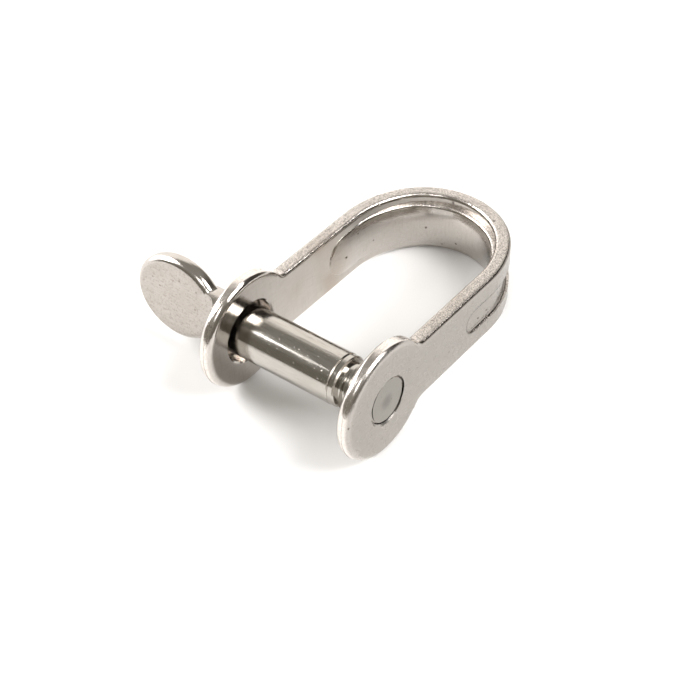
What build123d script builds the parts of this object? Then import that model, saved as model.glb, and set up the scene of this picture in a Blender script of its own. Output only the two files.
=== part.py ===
from build123d import *
from math import acos, cos, degrees, radians, sin, sqrt
import os

# A small pressed-strip shackle with a screw pin, in millimetres.
# X is the pin's axis, positive toward the threaded ear. Y points from the pin to the bow.
# Z is up, across the width of the strip. The origin is on the pin's axis, midway between the ears.

# Driving dimensions: the strip
mouth_gap = 14.0  # between the inner faces of the two ears
strip_thickness = 1.5
strip_width = 6.5
ear_diameter = 11.6
ear_root_radius = 1.2  # where the ear's outline runs into the leg's edges
leg_length = 16.0  # from the pin's axis to the start of the bow
bow_side_radius = 9.0  # inner face, on each side of the bow
bow_crown_radius = 6.6  # inner face, over the top of the bow
edge_rounding = 0.4  # on both corners of every blanked edge
rim_wear_rounding = 0.68  # on the free rims of the ears, where tumbling wears them most
rim_wear_radius = 5.87  # of the worn rim, about a centre that is off the pin's axis
rim_wear_shift = 0.11  # toward the leg, so that the wear fades out before the leg's root
rim_wear_start = 45  # degrees from the leg's direction, on both sides

# Driving dimensions: the bead pressed round the bow, raised inside and grooved outside
bead_end = 13.9  # Y of the centre of the bead's round end on each leg
bead_half_width = 2.3
bead_dome_radius = 8.0  # of the bead's gently domed top
bead_shoulder = 0.35  # rounding between the domed top and the bead's sides
bead_leg_height = 0.4
bead_crown_height = 0.85
groove_end = 13.3
groove_half_width = 1.25
groove_floor_rounding = 0.3
groove_leg_depth = 0.2
groove_crown_depth = 0.65

# Driving dimensions: the pin
shank_radius = 2.5
clearance_hole_radius = 3.1
hole_edge_break = 0.15
shank_end = 3.6  # X of the fine groove between the shank and the collar
shank_edge_break = 0.1
shoulder_radius = 3.5
shoulder_width = 1.1
shoulder_rounding = 0.35
shoulder_gap = 0.05  # left between the shoulder and the ear when the pin is home
tip_recess = 0.12  # how far the pin's tip stays inside the ear's outer face
tip_chamfer = 0.15

# Driving dimensions: the thread, M5 x 0.8 with running clearance
thread_pitch = 0.8
thread_crest_radius = 2.44
thread_core_radius = 2.0
nut_minor_radius = 2.15
nut_root_radius = 2.56
nut_chamfer = 0.25
basic_radius = 2.5  # where the flanks stand basic_flat apart
basic_flat = 0.1
flank_slope = 0.577  # tangent of half the 60 degree thread angle
flank_clearance = 0.08  # along the axis, on each flank
collar_radius = 2.46
collar_width = 0.7
collar_chamfer = 0.15
relief_radius = 1.95
relief_width = 0.55

# Driving dimensions: the thumb paddle
paddle_centre = -15.5  # X
paddle_half_length = 4.95
paddle_half_width = 4.2
paddle_half_thickness = 0.87
paddle_rim_rounding = 0.75
paddle_lean = 7.0  # degrees that the paddle leans from upright when the pin is home
neck_half_width = 2.3  # of the paddle's root, where it runs into the round neck
flare_radius = 2.0
scoop_radius = 0.9  # between the paddle's face and the round neck
scoop_half_length = 5.55  # of the die that flattens each face
scoop_half_width = 5.5
neck_reach = 1.3  # how far the round neck runs inside the paddle's end

# Worked out from the driving dimensions
half_gap = mouth_gap / 2
outer_face = half_gap + strip_thickness
half_width = strip_width / 2
ear_radius = ear_diameter / 2
side_centre = half_gap - bow_side_radius  # X of the centre of the bow's right side arc
centre_spread = bow_side_radius - bow_crown_radius
side_angle = degrees(acos(-side_centre / centre_spread))  # turn of each side arc
crown_rise = centre_spread * sin(radians(side_angle))  # crown centre above the legs' end
shoulder_face = -outer_face - shoulder_gap
shoulder_back = shoulder_face - shoulder_width
tip = outer_face - tip_recess
neck_end = paddle_centre + paddle_half_length - neck_reach
collar_end = shank_end + collar_width
thread_start = collar_end + relief_width
eps = 0.3  # how far a cutter or a joining piece runs past the surface it meets
tolerance = 0.01  # when an edge is picked out by its size or place
leg_overlap = 2.0  # how far the bow's solid runs back into each leg
run_out = 0.35  # how far the thread's first turn reaches back into the relief groove
pin_thread_start = thread_start - run_out
nut_thread_start = pin_thread_start + 2 * thread_pitch  # in step with the pin's thread
nut_turns = 4
pin_turns = 6
groove_overrun = 0.1
ring_radius = nut_root_radius + 0.7


def bow_path(leg_start, outward, shift):
    """The U along the strip in the XY plane: leg, side arc, crown, side arc, leg.

    outward is the path's offset from the strip's inner face, and shift moves the bow away from the pin.
    """
    start = leg_length + shift
    side = bow_side_radius + outward
    crown = bow_crown_radius + outward
    wall = half_gap + outward
    with BuildLine() as path:
        Line((-wall, leg_start), (-wall, start))
        CenterArc((-side_centre, start), side, 180, -side_angle)
        CenterArc((0, start + crown_rise), crown, 180 - side_angle, 2 * side_angle - 180)
        CenterArc((side_centre, start), side, side_angle, -side_angle)
        Line((wall, start), (wall, leg_start))
    return path.wires()[0]


def helical_ridge(crest_radius, face_radius, root_radius, spread, first, last):
    """A helical ridge about the X axis between two X values, as a solid.

    The flanks stand at 60 degrees down to face_radius, then drop straight to root_radius.
    spread moves each flank outward along the axis.
    """
    crest_half = basic_flat / 2 + (basic_radius - crest_radius) * flank_slope + spread
    face_half = basic_flat / 2 + (basic_radius - face_radius) * flank_slope + spread
    with BuildPart() as ridge:
        with BuildLine() as coil:
            Helix(thread_pitch, last - first, basic_radius, (first, 0, 0), (1, 0, 0))
        start = coil.line @ 0
        away = Vector(0, start.Y, start.Z).normalized()
        across = Plane((first, 0, 0), x_dir=away, z_dir=Vector(1, 0, 0).cross(away))
        with BuildSketch(across):
            with BuildLine():
                Polyline(
                    (root_radius, -face_half),
                    (face_radius, -face_half),
                    (crest_radius, -crest_half),
                    (crest_radius, crest_half),
                    (face_radius, face_half),
                    (root_radius, face_half),
                    close=True,
                )
            make_face()
        sweep(path=coil.line, is_frenet=True)
    return ridge.part


# The threaded part of the near ear, as a ring that the strip is then joined to.
with BuildPart() as threaded_ring:
    with BuildSketch(Plane.YZ.offset(half_gap)):
        Circle(ring_radius)
        Circle(nut_minor_radius, mode=Mode.SUBTRACT)
    extrude(amount=strip_thickness)
    nut_groove = helical_ridge(
        nut_root_radius, nut_minor_radius - groove_overrun, thread_core_radius - groove_overrun,
        flank_clearance, nut_thread_start, nut_thread_start + nut_turns * thread_pitch
    )
    add(nut_groove, mode=Mode.SUBTRACT)
    with BuildSketch(Plane.XZ):
        with BuildLine():
            Polyline(
                (half_gap - eps, 0),
                (half_gap - eps, nut_minor_radius + nut_chamfer + eps),
                (half_gap + nut_chamfer, nut_minor_radius),
                (outer_face - nut_chamfer, nut_minor_radius),
                (outer_face + eps, nut_minor_radius + nut_chamfer + eps),
                (outer_face + eps, 0),
                close=True,
            )
        make_face()
    revolve(axis=Axis.X, mode=Mode.SUBTRACT)

# What tumbling wears off the free rim of the near ear, as a ring cutter with both its corners.
with BuildPart() as rim_wear:
    start_angle = radians(rim_wear_start)
    wear_plane = Plane(
        (0, rim_wear_shift, 0), x_dir=(1, 0, 0), z_dir=(0, -sin(start_angle), cos(start_angle))
    )
    corners = (
        (outer_face - rim_wear_rounding, Align.MIN),
        (half_gap + rim_wear_rounding, Align.MAX),
    )
    for arc_centre, away in corners:
        with BuildSketch(wear_plane):
            with Locations((arc_centre, rim_wear_radius - rim_wear_rounding)):
                Rectangle(rim_wear_rounding + eps, rim_wear_rounding + eps, align=(away, Align.MIN))
                Circle(rim_wear_rounding, mode=Mode.SUBTRACT)
        revolve(
            axis=Axis((0, rim_wear_shift, 0), (1, 0, 0)), revolution_arc=360 - 2 * rim_wear_start
        )

inner_bow = bow_path(leg_length - leg_overlap, 0, 0)
outer_bow = bow_path(leg_length - leg_overlap, strip_thickness, 0)

# The bow strip: two legs with round ears, joined by the bow, from one strip of even thickness.
with BuildPart() as bow_strip:
    with BuildSketch(Plane.YZ.offset(half_gap)) as leg:
        Circle(ear_radius)
        with Locations((leg_length / 2, 0)):
            Rectangle(leg_length, strip_width)
        roots = leg.vertices().filter_by(lambda v: eps < v.X < leg_length - eps)
        fillet(roots, ear_root_radius)
    extrude(amount=strip_thickness)
    mirror(about=Plane.YZ)
    with BuildSketch(Plane.XY.offset(-half_width)):
        with BuildLine():
            add(inner_bow)
            add(outer_bow)
            Line(inner_bow @ 0, outer_bow @ 0)
            Line(inner_bow @ 1, outer_bow @ 1)
        make_face()
    extrude(amount=strip_width)
    outline = bow_strip.edges().filter_by(Axis.X, reverse=True).filter_by(Axis.Z, reverse=True)
    fillet(outline, edge_rounding)

    add(rim_wear, mode=Mode.SUBTRACT)
    mirror(rim_wear.part, about=Plane.YZ, mode=Mode.SUBTRACT)

    # The bead, raised on the inner side: a low loaf section swept round the bow, with domed ends.
    # Its path's bow stands further in than its legs, so the bead is highest at the crown.
    bead_sink = bead_crown_height - bead_leg_height + eps
    dome_drop = bead_dome_radius - sqrt(bead_dome_radius**2 - bead_half_width**2)
    with BuildSketch(Plane((-half_gap, bead_end, 0), x_dir=(1, 0, 0), z_dir=(0, 1, 0))) as loaf:
        with BuildLine():
            ThreePointArc(
                (bead_leg_height - dome_drop, -bead_half_width),
                (bead_leg_height, 0),
                (bead_leg_height - dome_drop, bead_half_width),
            )
            Polyline(
                (bead_leg_height - dome_drop, bead_half_width),
                (-bead_sink, bead_half_width),
                (-bead_sink, -bead_half_width),
                (bead_leg_height - dome_drop, -bead_half_width),
            )
        make_face()
        fillet(loaf.vertices().group_by(Axis.X)[-1], bead_shoulder)
    sweep(path=bow_path(bead_end, 0, bead_leg_height - bead_crown_height))
    bead_half = split(loaf.sketch, bisect_by=Plane.XY, keep=Keep.TOP, mode=Mode.PRIVATE)
    for side in (1, -1):
        end_axis = Axis((side * half_gap, bead_end, 0), (1, 0, 0))
        half = bead_half if side == -1 else mirror(bead_half, about=Plane.YZ, mode=Mode.PRIVATE)
        revolve(half, axis=end_axis)

    # The groove pressed into the outer side behind the bead, deepest at the crown.
    groove_top = groove_crown_depth + eps  # the cutter reaches this far above its own floor
    with BuildSketch(Plane((-outer_face, groove_end, 0), x_dir=(1, 0, 0), z_dir=(0, 1, 0))) as trough:
        with Locations((groove_leg_depth - groove_top / 2, 0)):
            Rectangle(groove_top, 2 * groove_half_width)
        fillet(trough.vertices().group_by(Axis.X)[-1], groove_floor_rounding)
    groove_path = bow_path(groove_end, strip_thickness, groove_leg_depth - groove_crown_depth)
    sweep(path=groove_path, mode=Mode.SUBTRACT)
    trough_half = split(trough.sketch, bisect_by=Plane.XY, keep=Keep.TOP, mode=Mode.PRIVATE)
    for side in (1, -1):
        end_axis = Axis((side * outer_face, groove_end, 0), (1, 0, 0))
        half = trough_half if side == -1 else mirror(trough_half, about=Plane.YZ, mode=Mode.PRIVATE)
        revolve(half, axis=end_axis, mode=Mode.SUBTRACT)

    # The plain hole of the far ear, and the threaded hole of the near one.
    with BuildSketch(Plane.YZ.offset(-outer_face)):
        Circle(clearance_hole_radius)
    extrude(amount=strip_thickness, mode=Mode.SUBTRACT)
    far_rims = bow_strip.edges().filter_by(GeomType.CIRCLE).filter_by(
        lambda e: abs(e.radius - clearance_hole_radius) < tolerance
    )
    chamfer(far_rims, hole_edge_break)
    with BuildSketch(Plane.YZ.offset(half_gap)):
        Circle(ring_radius)
    extrude(amount=strip_thickness, mode=Mode.SUBTRACT)
    add(threaded_ring)
bow_strip.part.label = "bow_strip"
export_step(bow_strip.part, "parts/bow_strip.step")

# The pin's plain shank, a round bar from the shoulder to a fine groove, then a collar of its own size.
with BuildPart() as pin_shank:
    with BuildSketch(Plane.XZ):
        with BuildLine():
            Polyline(
                (shoulder_face, 0),
                (shoulder_face, shank_radius),
                (shank_end - shank_edge_break, shank_radius),
                (shank_end, shank_radius - shank_edge_break),
                (shank_end + shank_edge_break, collar_radius),
                (collar_end - collar_chamfer, collar_radius),
                (collar_end, collar_radius - collar_chamfer),
                (collar_end, 0),
                close=True,
            )
        make_face()
    revolve(axis=Axis.X)
pin_shank.part.label = "pin_shank"
export_step(pin_shank.part, "parts/pin_shank.step")

# The pin's screw ridge, cut square at the relief groove and chamfered at the tip.
with BuildPart() as pin_ridge:
    add(
        helical_ridge(
            thread_crest_radius, thread_core_radius, thread_core_radius - eps, 0,
            pin_thread_start, pin_thread_start + pin_turns * thread_pitch
        )
    )
    with BuildSketch(Plane.XZ):
        with BuildLine():
            Polyline(
                (thread_start, 0),
                (thread_start, basic_radius),
                (tip - tip_chamfer, basic_radius),
                (tip, basic_radius - tip_chamfer),
                (tip, 0),
                close=True,
            )
        make_face()
    revolve(axis=Axis.X, mode=Mode.INTERSECT)

# The pin's threaded end: the relief groove beyond the collar, and the thread on its core.
with BuildPart() as pin_thread:
    with BuildSketch(Plane.YZ.offset(collar_end)):
        Circle(relief_radius)
    extrude(amount=relief_width)
    with BuildSketch(Plane.YZ.offset(thread_start)):
        Circle(thread_core_radius)
    extrude(amount=tip - thread_start)
    add(pin_ridge)
pin_thread.part.label = "pin_thread"
export_step(pin_thread.part, "parts/pin_thread.step")

# The paddle's own plane stands on the pin's axis, with its normal leaning from -Y toward +Z.
paddle_plane = Plane(
    (0, 0, 0), x_dir=(1, 0, 0), z_dir=(0, -cos(radians(paddle_lean)), sin(radians(paddle_lean)))
)

# The die that squeezes one face of the paddle flat, with a rounded foot that leaves a scooped neck.
with BuildPart() as scoop:
    with BuildSketch(paddle_plane.offset(paddle_half_thickness)):
        with Locations((paddle_centre, 0)):
            Ellipse(scoop_half_length, scoop_half_width)
    extrude(amount=shank_radius)
    fillet(scoop.faces().sort_by(Axis((0, 0, 0), paddle_plane.z_dir))[0].edges(), scoop_radius)

# The paddle: a flat oval that flares out of the neck, rounded all round its rim.
with BuildPart() as paddle:
    with BuildSketch(paddle_plane.offset(-paddle_half_thickness)) as oval:
        with Locations((paddle_centre, 0)):
            Ellipse(paddle_half_length, paddle_half_width)
        with Locations(((paddle_centre + shoulder_back) / 2, 0)):
            Rectangle(shoulder_back - paddle_centre, 2 * neck_half_width)
        flares = oval.vertices().filter_by(lambda v: paddle_centre < v.X < shoulder_back - eps)
        fillet(flares, flare_radius)
    extrude(amount=2 * paddle_half_thickness)
    rims = paddle.edges().filter_by(
        lambda e: abs(abs((e @ 0.5).dot(paddle_plane.z_dir)) - paddle_half_thickness) < tolerance
        and (e @ 0.5).X < shoulder_back - tolerance
    )
    fillet(rims, paddle_rim_rounding)

# The pin's head: a shoulder that bears on the far ear, a round neck, and the paddle.
with BuildPart() as pin_head:
    with BuildSketch(Plane.YZ.offset(neck_end)):
        Circle(shank_radius)
    extrude(amount=shoulder_back - neck_end)
    add(scoop, mode=Mode.SUBTRACT)
    mirror(scoop.part, about=paddle_plane, mode=Mode.SUBTRACT)
    add(paddle)
    with BuildSketch(Plane.YZ.offset(shoulder_back)):
        Circle(shoulder_radius)
    extrude(amount=shoulder_width)
    shoulder_edge = pin_head.edges().filter_by(GeomType.CIRCLE).filter_by(
        lambda e: abs(e.radius - shoulder_radius) < tolerance
    )
    fillet(shoulder_edge.sort_by(Axis.X)[0], shoulder_rounding)
    chamfer(shoulder_edge.sort_by(Axis.X)[-1], shank_edge_break)
pin_head.part.label = "pin_head"
export_step(pin_head.part, "parts/pin_head.step")
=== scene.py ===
# %% [markdown]
# # A pressed-strip shackle with a screw pin
#
# This lesson dresses a small stainless steel shackle, the kind that joins a sail or a rope to a
# fitting. Its shape comes ready from the solid model: a flat strip bent round a bow, two round ears,
# and a pin with a thumb paddle. A metal part like this needs no new meshes, so the work goes into
# three things: how the steel is finished, what the steel reflects, and how it lies on a table.

from math import asin, atan2, degrees, hypot

import bpy
from mathutils import Matrix, Vector


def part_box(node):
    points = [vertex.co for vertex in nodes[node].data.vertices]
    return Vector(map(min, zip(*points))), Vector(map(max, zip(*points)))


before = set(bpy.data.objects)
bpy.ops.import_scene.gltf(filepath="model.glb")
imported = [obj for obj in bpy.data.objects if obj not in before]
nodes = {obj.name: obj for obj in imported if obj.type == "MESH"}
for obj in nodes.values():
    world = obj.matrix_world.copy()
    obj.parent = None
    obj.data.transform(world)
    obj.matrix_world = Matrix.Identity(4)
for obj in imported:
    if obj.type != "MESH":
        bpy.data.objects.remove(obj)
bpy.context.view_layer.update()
MM = 0.001

# %% [markdown]
# ## How the shackle lies down
#
# The ears are wider than the strip, so a shackle on a table doesn't lie level: it rests on the
# lowest points of both ears and on the lower edge of the bow. One way to show that is to tilt the
# shackle. The solid model has to stay where it is, so the table is tilted instead, and it looks the
# same. The tilt is measured from the strip itself: the table turns about the ears' edge until it
# meets the first point of the bow.

# %% Find the plane that the shackle rests on
ear_low, strip_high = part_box("bow_strip")
ear_radius = -ear_low.z
bow_start = strip_high.y / 2
table_tilt = min(
    asin(ear_radius / hypot(v.co.y, v.co.z)) - atan2(-v.co.z, v.co.y)
    for v in nodes["bow_strip"].data.vertices
    if v.co.y > bow_start
)
table_turn = Matrix.Rotation(table_tilt, 4, "X")
table_up = (table_turn @ Vector((0, 0, 1))).normalized()
print("the table leans", round(degrees(table_tilt), 2), "degrees")

# %% [markdown]
# ## Small helpers for finishes
#
# A finish is a small network of nodes. The helpers below keep each finish down to a few lines. All
# patterns are placed by the object's own coordinates, turned into millimetres, so a scratch that is
# 0.05 mm wide says so in the script.


# %% Node helpers
class Finish:
    """One node material that is built up step by step."""

    def __init__(self, name):
        self.material = bpy.data.materials.new(name)
        self.material.use_nodes = True
        self.tree = self.material.node_tree
        self.steel = self.tree.nodes["Principled BSDF"]
        place = self.tree.nodes.new("ShaderNodeTexCoord")
        to_mm = self.tree.nodes.new("ShaderNodeVectorMath")
        to_mm.operation = "SCALE"
        to_mm.inputs["Scale"].default_value = 1 / MM
        self.tree.links.new(place.outputs["Object"], to_mm.inputs[0])
        self.mm = to_mm.outputs[0]
        self.normal = place.outputs["Normal"]

    def put(self, value, socket):
        """Gives a socket a value, or joins it to another node's output."""
        if isinstance(value, bpy.types.NodeSocket):
            self.tree.links.new(value, socket)
        else:
            socket.default_value = value

    def math(self, operation, a, b=0.0, clamp=False):
        node = self.tree.nodes.new("ShaderNodeMath")
        node.operation = operation
        node.use_clamp = clamp
        self.put(a, node.inputs[0])
        self.put(b, node.inputs[1])
        return node.outputs[0]

    def parts(self, vector):
        node = self.tree.nodes.new("ShaderNodeSeparateXYZ")
        self.put(vector, node.inputs[0])
        return node.outputs

    def stretch(self, vector, scale):
        """The same place, with each direction scaled: a small number draws the pattern out."""
        node = self.tree.nodes.new("ShaderNodeVectorMath")
        node.operation = "MULTIPLY"
        self.put(vector, node.inputs[0])
        self.put(scale, node.inputs[1])
        return node.outputs[0]

    def noise(self, vector, per_mm, detail=3.0, rough=0.5):
        node = self.tree.nodes.new("ShaderNodeTexNoise")
        self.put(vector, node.inputs["Vector"])
        self.put(per_mm, node.inputs["Scale"])
        self.put(detail, node.inputs["Detail"])
        self.put(rough, node.inputs["Roughness"])
        return node.outputs["Fac"]

    def pits(self, vector, per_mm, centre, rim, kept_from, channel=0):
        """Small round marks at scattered points, full at the centre and gone at the rim, in cells.
        Each cell has a random colour, and only the cells above kept_from in one channel get a mark."""
        node = self.tree.nodes.new("ShaderNodeTexVoronoi")
        self.put(vector, node.inputs["Vector"])
        self.put(per_mm, node.inputs["Scale"])
        chance = self.ramp(self.parts(node.outputs["Color"])[channel], kept_from, kept_from + 0.04)
        return self.times(self.ramp(node.outputs["Distance"], centre, rim, 1.0, 0.0), chance)

    def ramp(self, value, low, high, start=0.0, end=1.0):
        """A smooth step from start to end as value goes from low to high."""
        node = self.tree.nodes.new("ShaderNodeMapRange")
        node.interpolation_type = "SMOOTHSTEP"
        self.put(value, node.inputs["Value"])
        for socket, number in zip(node.inputs[1:5], (low, high, start, end)):
            self.put(number, socket)
        return node.outputs[0]

    def times(self, *shares):
        """Shares multiplied together, so a mark shows only where every share allows it."""
        product = shares[0]
        for share in shares[1:]:
            product = self.math("MULTIPLY", product, share)
        return product

    def inverse(self, share):
        return self.math("SUBTRACT", 1.0, share)

    def blend(self, share, a, b):
        """Mixes two numbers."""
        node = self.tree.nodes.new("ShaderNodeMix")
        node.data_type = "FLOAT"
        self.put(share, node.inputs[0])
        self.put(a, node.inputs[2])
        self.put(b, node.inputs[3])
        return node.outputs[0]

    def tint(self, share, a, b):
        """Mixes two colours."""
        node = self.tree.nodes.new("ShaderNodeMix")
        node.data_type = "RGBA"
        self.put(share, node.inputs[0])
        for socket, colour in ((node.inputs[6], a), (node.inputs[7], b)):
            self.put(colour if isinstance(colour, bpy.types.NodeSocket) else (*colour, 1), socket)
        return node.outputs[2]

    def relief(self, height, depth_mm):
        """Bump of a real depth. Steps are laid one over another."""
        node = self.tree.nodes.new("ShaderNodeBump")
        self.put(1.0, node.inputs["Strength"])
        varies = isinstance(depth_mm, bpy.types.NodeSocket)
        self.put(self.math("MULTIPLY", depth_mm, MM) if varies else depth_mm * MM, node.inputs["Distance"])
        self.put(height, node.inputs["Height"])
        if self.steel.inputs["Normal"].is_linked:
            self.put(self.steel.inputs["Normal"].links[0].from_socket, node.inputs["Normal"])
        self.put(node.outputs[0], self.steel.inputs["Normal"])

    def done(self, colour, roughness):
        self.steel.inputs["Metallic"].default_value = 1.0
        self.put(colour, self.steel.inputs["Base Color"])
        self.put(roughness, self.steel.inputs["Roughness"])
        return self.material


def dress(node, material):
    for slot in nodes[node].material_slots:
        slot.material = material
    print(node, "wears", material.name)


# %% [markdown]
# ## The strip's finish
#
# The strip starts as a rolled sheet, is cut out by a blanking press, bent, and then tumbled with
# stones until no edge is sharp. Its flat faces stay smooth and satin. Its cut edges were torn by the
# press and then rubbed, so they stay sandy and dull. Two separate materials would need a seam, and
# the mesh is one piece. So one material finds out for itself where it is: by the direction that the
# surface faces, and by how far it is from the middle of the ears.

# %% Work out which part of the strip a point is on
strip = Finish("tumbled_strip_steel")
x, y, z = strip.parts(strip.mm)
facing_x, facing_y, facing_z = strip.parts(strip.normal)
across = strip.math("ABSOLUTE", facing_x)
up_or_down = strip.math("ABSOLUTE", facing_z)
on_ear = strip.ramp(y, 4.6, 5.4, 1.0, 0.0)
on_leg = strip.inverse(on_ear)
cut_on_ear = strip.ramp(across, 0.25, 0.75, 1.0, 0.0)
cut_on_leg = strip.ramp(up_or_down, 0.45, 0.9)
cut_edge = strip.blend(on_ear, cut_on_leg, cut_on_ear)
print("the ears give way to the legs about 5 mm from the pin")

# %% [markdown]
# The inner side of the strip is the one that faces the middle of the bow. A leg's middle is level with
# the point itself, and the round part's middle is where the legs end, so one formula serves both. The
# stones reach the ears' rims best, so less sand is left there, and they polish the rounding between
# the legs' faces and their cut edges.

# %% Tell the inner side from the outer, and find the roundings
legs_end = 16.0  # mm from the pin
beyond_legs = strip.math("SUBTRACT", y, strip.math("MINIMUM", y, legs_end))
outward = strip.math("ADD", strip.times(x, facing_x), strip.times(beyond_legs, facing_y))
inner_side = strip.ramp(outward, -1.0, 1.0, 1.0, 0.0)
outer_side = strip.inverse(inner_side)
sandy = strip.times(cut_edge, strip.blend(on_ear, 1.0, 0.3))
rounding = strip.times(
    strip.ramp(up_or_down, 0.25, 0.5), on_leg, strip.ramp(up_or_down, 0.82, 0.97, 1.0, 0.0)
)
print("the bow's round part starts", legs_end, "mm from the pin")

# %% [markdown]
# Now the marks that use leaves. Painted marks would need an image, and a pattern of noise is cheaper
# and has no edges. A noise that is drawn out in one direction turns into scratches: along the cut
# edges they run across the strip, as the press tore them, and on the faces they follow the handling.

# %% Make the strip's sand, scratches and pits
sand = strip.noise(strip.mm, 9.0, 6.0, 0.65)
cloud = strip.noise(strip.mm, 0.7, 3.0, 0.55)
cut_marks = strip.noise(strip.stretch(strip.mm, (0.8, 7.0, 1.0)), 1.4, 4.0, 0.65)
scuffs = strip.noise(strip.stretch(strip.mm, (4.0, 0.5, 5.0)), 1.5, 5.0, 0.6)
brush_marks = strip.noise(strip.stretch(strip.mm, (3.0, 5.0, 0.4)), 1.5, 5.0, 0.65)
pit = strip.pits(strip.mm, 0.95, 0.07, 0.16, kept_from=0.62)
speck = strip.times(sandy, strip.ramp(sand, 0.40, 0.56, 0.75, 0.0))
print("the strip has sand, two kinds of scratches, brushing and pits")

# %% [markdown]
# A shallow groove runs round the outside of the bow, and a line of painted shade darkens the edge of
# its outline. The line is found by its distance from the groove's outline: two straight sides and a
# round end on each leg.
# Inside the legs there is a faint brown stain, the start of tea staining, which salt water gives even
# to stainless steel.

# %% Find the groove's outline and the stain
groove_end = 13.3  # mm from the pin to the middle of the groove's round end
groove_half_width = 1.25
short_of_groove = strip.math("MAXIMUM", strip.math("SUBTRACT", groove_end, y), 0.0)
from_groove_middle = strip.math(
    "SQRT", strip.math("ADD", strip.times(short_of_groove, short_of_groove), strip.times(z, z))
)
from_groove = strip.math("ABSOLUTE", strip.math("SUBTRACT", from_groove_middle, groove_half_width))
outer_face = strip.math("SUBTRACT", outer_side, cut_edge, clamp=True)
groove_line = strip.times(strip.ramp(from_groove, 0.03, 0.13, 1.0, 0.0), outer_face)
stain_cloud = strip.ramp(strip.noise(strip.mm, 0.25, 1.0, 0.5), 0.3, 0.7)
inside_legs = strip.times(strip.ramp(y, 4.0, 8.0), strip.ramp(y, 12.0, 15.0, 1.0, 0.0), inner_side)
stain = strip.times(inside_legs, stain_cloud)
print("the groove is", 2 * groove_half_width, "mm wide")

# %% [markdown]
# The colours go on in layers, as the marks came: first the metal of each side, with the outer faces
# painted darker and the cut edges painted lighter as painted shade and light, then scuffs, brushing
# and stain, then the painted shade along the groove's edge, the specks and pits, and a painted dark
# reflection along the outer rounding.

# %% Colour the strip
# The outer faces' colour is painted darker and the cut edges' colour painted lighter than the steel is:
# painted shade and painted light for how the light falls on each side.
outer_steel_painted_darker = (0.44, 0.415, 0.388)
inner_steel = (0.55, 0.52, 0.485)
cut_steel_painted_lighter = (0.90, 0.84, 0.79)
scuffed_steel = (0.37, 0.335, 0.305)
brushed_steel = (0.36, 0.315, 0.28)
stained_steel = (0.36, 0.28, 0.21)
# Real grime in the specks and pits, and also the colour of the painted shade along the groove and the
# painted dark reflection on the outer rounding.
grime_and_painted_shade = (0.13, 0.11, 0.095)
brushed = strip.times(inner_side, strip.ramp(brush_marks, 0.5, 0.7, 0.0, 0.35))
colour = strip.tint(inner_side, outer_steel_painted_darker, inner_steel)
colour = strip.tint(cut_edge, colour, cut_steel_painted_lighter)
for share, tone in (
    (strip.ramp(scuffs, 0.3, 0.7, 0.0, 0.3), scuffed_steel),
    (brushed, brushed_steel),
    (strip.times(stain, 0.45), stained_steel),
    # painted shade along the groove's edge
    (strip.times(groove_line, 0.7), grime_and_painted_shade),
    (speck, grime_and_painted_shade),
    (strip.times(pit, 0.9), grime_and_painted_shade),
    # painted dark reflection along the outer rounding
    (strip.times(rounding, outer_side, 0.75), grime_and_painted_shade),
):
    colour = strip.tint(share, colour, tone)
print("the strip's colour has 9 layers")

# %% [markdown]
# Roughness and relief decide how sharp a reflection is. The inner faces are the smoothest, because
# nothing rubs there. The relief is given as real depths, between a few thousandths and a few
# hundredths of a millimetre.

# %% Give the strip its gloss and relief
face_roughness = strip.blend(inner_side, 0.26, 0.085)
cut_roughness = strip.blend(on_ear, 0.33, 0.15)
roughness = strip.blend(cut_edge, face_roughness, cut_roughness)
roughness = strip.blend(rounding, roughness, 0.10)
roughness = strip.math("ADD", roughness, strip.ramp(cloud, 0.3, 0.7, -0.03, 0.06))
for height, depth_mm in (
    (sand, strip.blend(sandy, 0.003, 0.014)),
    (strip.times(cut_marks, sandy), 0.03),
    (strip.times(scuffs, strip.inverse(cut_edge)), 0.006),
    (strip.times(brush_marks, inner_side, on_leg), 0.006),
    (strip.times(groove_line, -1.0), 0.03),
    (strip.times(pit, -1.0), 0.03),
):
    strip.relief(height, depth_mm)
dress("bow_strip", strip.done(colour, roughness))

# %% [markdown]
# ## The pin's finish
#
# The pin is turned on a lathe from round bar and polished while it spins. The tool leaves very fine
# rings round it. Noise that is drawn out round the axis, and changes quickly along it, gives these
# rings with no pattern of its own. Years of being pushed in and out add marks along the pin, small
# dimples and a few nicks. The collar and the threads get the same finish.

# %% Make the pin's rings, smears and marks
pin = Finish("turned_pin_steel")
x, y, z = pin.parts(pin.mm)
tool_rings = pin.noise(pin.stretch(pin.mm, (9.0, 0.35, 0.35)), 1.0, 5.0, 0.6)
smears = pin.noise(pin.stretch(pin.mm, (0.35, 1.6, 1.6)), 1.0, 3.0, 0.5)
drag_marks = pin.noise(pin.stretch(pin.mm, (0.5, 5.0, 5.0)), 1.3, 5.0, 0.65)
nick = pin.pits(pin.stretch(pin.mm, (1.0, 1.8, 1.8)), 0.7, 0.04, 0.12, kept_from=0.6)
dimple = pin.pits(
    pin.stretch(pin.mm, (0.7, 1.3, 1.3)), 6.0, 0.1, 0.35, kept_from=0.78, channel=1
)
print("the pin has rings, smears, drag marks, nicks and dimples")

# %% [markdown]
# The far end of the pin was cut off and never polished, so it is duller than the rest, with a soft
# dark spot at the middle where the cutting tool left a pip. It is found by the way it faces and by
# its place along the pin.

# %% Find the pin's cut end
facing_x = pin.parts(pin.normal)[0]
cut_end = pin.times(pin.ramp(facing_x, 0.8, 0.95), pin.ramp(x, 7.0, 7.5))
from_axis = pin.math("SQRT", pin.math("ADD", pin.times(y, y), pin.times(z, z)))
centre_spot = pin.times(cut_end, pin.ramp(from_axis, 0.2, 1.1, 0.45, 0.0))
print("the cut end starts 7 mm along the pin")

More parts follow.
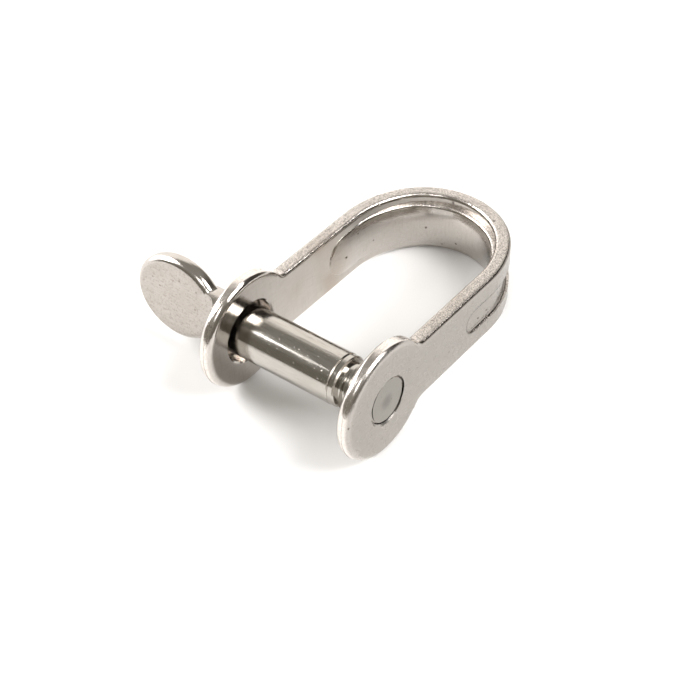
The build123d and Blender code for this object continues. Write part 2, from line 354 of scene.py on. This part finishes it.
# %% Colour the pin, and give it its gloss and relief
polished_steel = (0.48, 0.455, 0.42)
smeared_steel = (0.39, 0.365, 0.325)
colour = pin.tint(pin.ramp(smears, 0.35, 0.7, 0.0, 0.5), polished_steel, smeared_steel)
for share, tone in (
    (pin.times(nick, 0.5), (0.25, 0.21, 0.18)),
    (pin.ramp(drag_marks, 0.5, 0.72, 0.0, 0.5), (0.30, 0.28, 0.25)),
    (pin.times(cut_end, 0.75), (0.30, 0.285, 0.26)),
    (centre_spot, (0.12, 0.11, 0.10)),
):
    colour = pin.tint(share, colour, tone)
for height, depth_mm in (
    (tool_rings, 0.004),
    (drag_marks, 0.005),
    (pin.times(dimple, -1.0), 0.004),
    (pin.times(nick, -1.0), 0.015),
):
    pin.relief(height, depth_mm)
pin_material = pin.done(colour, pin.ramp(smears, 0.3, 0.7, 0.09, 0.17))
dress("pin_shank", pin_material)
dress("pin_thread", pin_material)

# %% [markdown]
# ## The paddle's finish
#
# The paddle is the end of the bar, squeezed flat between two dies and trimmed. The die faces leave
# it satin, mottled and scraped in all directions, and the tumbling polishes its rounded rim. The flat
# faces look along Y, so the direction that the surface faces tells them from the rim.

# %% Make the paddle's scrapes, mottling and pits
paddle = Finish("pressed_paddle_steel")
along_y = paddle.math("ABSOLUTE", paddle.parts(paddle.normal)[1])
flat_face = paddle.ramp(along_y, 0.93, 0.985)
scratches = paddle.noise(paddle.stretch(paddle.mm, (1.2, 3.0, 7.0)), 2.2, 5.0, 0.65)
cross_scratches = paddle.noise(paddle.stretch(paddle.mm, (6.0, 3.0, 1.0)), 1.7, 5.0, 0.65)
scrape = paddle.noise(paddle.stretch(paddle.mm, (0.8, 1.0, 8.0)), 1.2, 5.0, 0.7)
mottle = paddle.noise(paddle.mm, 4.0, 4.0, 0.7)
cloud = paddle.noise(paddle.mm, 0.8, 4.0, 0.6)
pit = paddle.times(paddle.pits(paddle.mm, 1.1, 0.05, 0.15, kept_from=0.5), flat_face)
print("the paddle has scratches, scrapes, mottling and pits")

# %% Colour the paddle, and give it its gloss and relief
rim_steel = (0.56, 0.525, 0.49)
face_steel = (0.50, 0.465, 0.432)
colour = paddle.tint(flat_face, rim_steel, face_steel)
for share, tone in (
    (paddle.times(flat_face, paddle.ramp(scrape, 0.45, 0.7, 0.0, 0.6)), (0.36, 0.325, 0.29)),
    (paddle.times(flat_face, paddle.ramp(mottle, 0.5, 0.62, 0.0, 0.55)), (0.30, 0.25, 0.22)),
    (paddle.ramp(cloud, 0.35, 0.7, 0.0, 0.3), (0.42, 0.375, 0.34)),
    (paddle.times(pit, 0.7), (0.2, 0.165, 0.14)),
):
    colour = paddle.tint(share, colour, tone)
paddle.relief(paddle.math("ADD", scratches, cross_scratches), 0.006)
paddle.relief(paddle.times(pit, -1.0), 0.02)
satin = paddle.blend(flat_face, 0.13, 0.34)
roughness = paddle.math("ADD", satin, paddle.ramp(cloud, 0.3, 0.7, -0.03, 0.05))
dress("pin_head", paddle.done(colour, roughness))

# %% [markdown]
# ## The table
#
# A plain white sheet, so large that its edge is never seen. It turns about the pin's axis by the
# angle measured above, at the distance of the ear's radius.

# %% Lay the table
table_size = 3.0  # metres
half = table_size / 2
corners = [(-half, -half, 0), (half, -half, 0), (half, half, 0), (-half, half, 0)]
table_mesh = bpy.data.meshes.new("table")
table_mesh.from_pydata(corners, [], [(0, 1, 2, 3)])
table = bpy.data.objects.new("table", table_mesh)
bpy.context.scene.collection.objects.link(table)
table.matrix_world = Matrix.Translation(-ear_radius * table_up) @ table_turn
white_card = bpy.data.materials.new("white_card")
white_card.use_nodes = True
card = white_card.node_tree.nodes["Principled BSDF"]
card.inputs["Base Color"].default_value = (0.86, 0.855, 0.85, 1)
card.inputs["Roughness"].default_value = 0.9
table_mesh.materials.append(white_card)
print("the table is", table_size, "m wide")

# %% [markdown]
# ## What the steel sees
#
# Polished steel shows little colour of its own: it shows the room. A plain grey room makes it look
# like plastic. This room is a world of soft tones, chosen by direction: a dark, slightly olive side
# where the viewer stands, a grey ceiling, a white wall low behind on the left, a bright window
# low on the left, and a dark doorway behind on the right. The wall and the dark side give the pin its
# long light and dark bands, and the doorway draws the dark line along the strip's outer rounding,
# which the strip's colour also paints in as a painted dark reflection.

# %% Build the room
room = bpy.data.worlds.new("studio_room")
bpy.context.scene.world = room
room.use_nodes = True
tree = room.node_tree
background = tree.nodes["Background"]
direction = tree.nodes.new("ShaderNodeTexCoord").outputs["Generated"]


def towards(vector, low, high):
    """How far a direction leans toward a vector, from 0 to 1, with a soft edge."""
    dot = tree.nodes.new("ShaderNodeVectorMath")
    dot.operation = "DOT_PRODUCT"
    tree.links.new(direction, dot.inputs[0])
    dot.inputs[1].default_value = Vector(vector).normalized()
    step = tree.nodes.new("ShaderNodeMapRange")
    step.interpolation_type = "SMOOTHSTEP"
    tree.links.new(dot.outputs["Value"], step.inputs["Value"])
    step.inputs["From Min"].default_value = low
    step.inputs["From Max"].default_value = high
    return step.outputs[0]


def over(colour, share, tone):
    """Lays a tone over a colour, as much as the share says."""
    mix = tree.nodes.new("ShaderNodeMix")
    mix.data_type = "RGBA"
    tree.links.new(share, mix.inputs[0])
    if isinstance(colour, bpy.types.NodeSocket):
        tree.links.new(colour, mix.inputs[6])
    else:
        mix.inputs[6].default_value = (*colour, 1)
    mix.inputs[7].default_value = (*tone, 1)
    return mix.outputs[2]


print("the room has", len(tree.nodes), "nodes so far")

# %% [markdown]
# Each tone is laid over the ones before it, so the small bright and dark places come last. The very
# last one is only for a camera that looks straight past the table's edge: it sees a pale backdrop,
# while the steel still reflects the dark side of the room.

# %% Hang the room's tones
dark_side = (0.25, 0.232, 0.198)
ceiling = (0.36, 0.345, 0.315)
white_wall = (1.55, 1.49, 1.42)
doorway = (0.09, 0.08, 0.07)
window = (2.8, 2.8, 2.85)
pale_backdrop = (0.58, 0.57, 0.56)
tone = over(dark_side, towards((0, 0, 1), 0.35, 0.7), ceiling)
tone = over(tone, towards((-0.80, 0.58, 0.15), 0.69, 0.80), white_wall)
tone = over(tone, towards((0.67, 0.58, 0.40), 0.80, 0.95), doorway)
tone = over(tone, towards((-0.98, -0.10, 0.15), 0.86, 0.97), window)
straight_view = tree.nodes.new("ShaderNodeLightPath").outputs["Is Camera Ray"]
tone = over(tone, straight_view, pale_backdrop)
tree.links.new(tone, background.inputs["Color"])
background.inputs["Strength"].default_value = 1.0
print("the room has", len(tree.nodes), "nodes")

# %% [markdown]
# ## Soft lights
#
# Light on a white table has to come from several sides, or the shadows grow long and hard. A large
# softbox on the right puts the soft shadow under the pin and inside the bow. A second one on the left
# fills the shadow outside the near leg. A small one high in front adds no more than the white glints.

# %% Hang the soft lights
def soft_light(name, place_mm, size_mm, watts):
    """A rectangle of light that hangs at a place and points at the pin."""
    light = bpy.data.lights.new(name, "AREA")
    light.shape = "RECTANGLE"
    light.size, light.size_y = (side * MM for side in size_mm)
    light.energy = watts
    holder = bpy.data.objects.new(name, light)
    bpy.context.scene.collection.objects.link(holder)
    holder.location = Vector(place_mm) * MM
    holder.rotation_euler = (-holder.location).to_track_quat("-Z", "Y").to_euler()
    print(name, "hangs at", [round(v) for v in place_mm], "mm")


soft_light("right_softbox", (248, 67, 306), (200, 200), 1.65)
soft_light("left_softbox", (-309, -131, 218), (240, 200), 1.4)
soft_light("front_softbox", (95, -244, 303), (110, 110), 0.22)

# %% [markdown]
# ## The camera
#
# The shackle is seen from above, from the threaded side, with a lens of moderate length, so the near
# ear looks only a little larger than the far one.

# %% Place the camera
camera = bpy.data.objects.new("camera", bpy.data.cameras.new("camera"))
bpy.context.scene.collection.objects.link(camera)
looking = Vector((-0.4585, 0.5806, -0.6728)).normalized()
picture_up = Vector((-0.4024, 0.5393, 0.7397))
right = looking.cross(picture_up).normalized()
picture_up = right.cross(looking)
turn = Matrix((right, picture_up, -looking)).transposed().to_4x4()
camera.matrix_world = Matrix.Translation(Vector((67.03, -79.96, 96.27)) * MM) @ turn
camera.data.sensor_width = 36
camera.data.lens = 82.03
camera.data.shift_x = 0.007
camera.data.clip_start = 0.005
bpy.context.scene.camera = camera
bpy.context.scene.view_settings.view_transform = "Standard"
print("camera at", [round(v * 1000, 1) for v in camera.location], "mm")
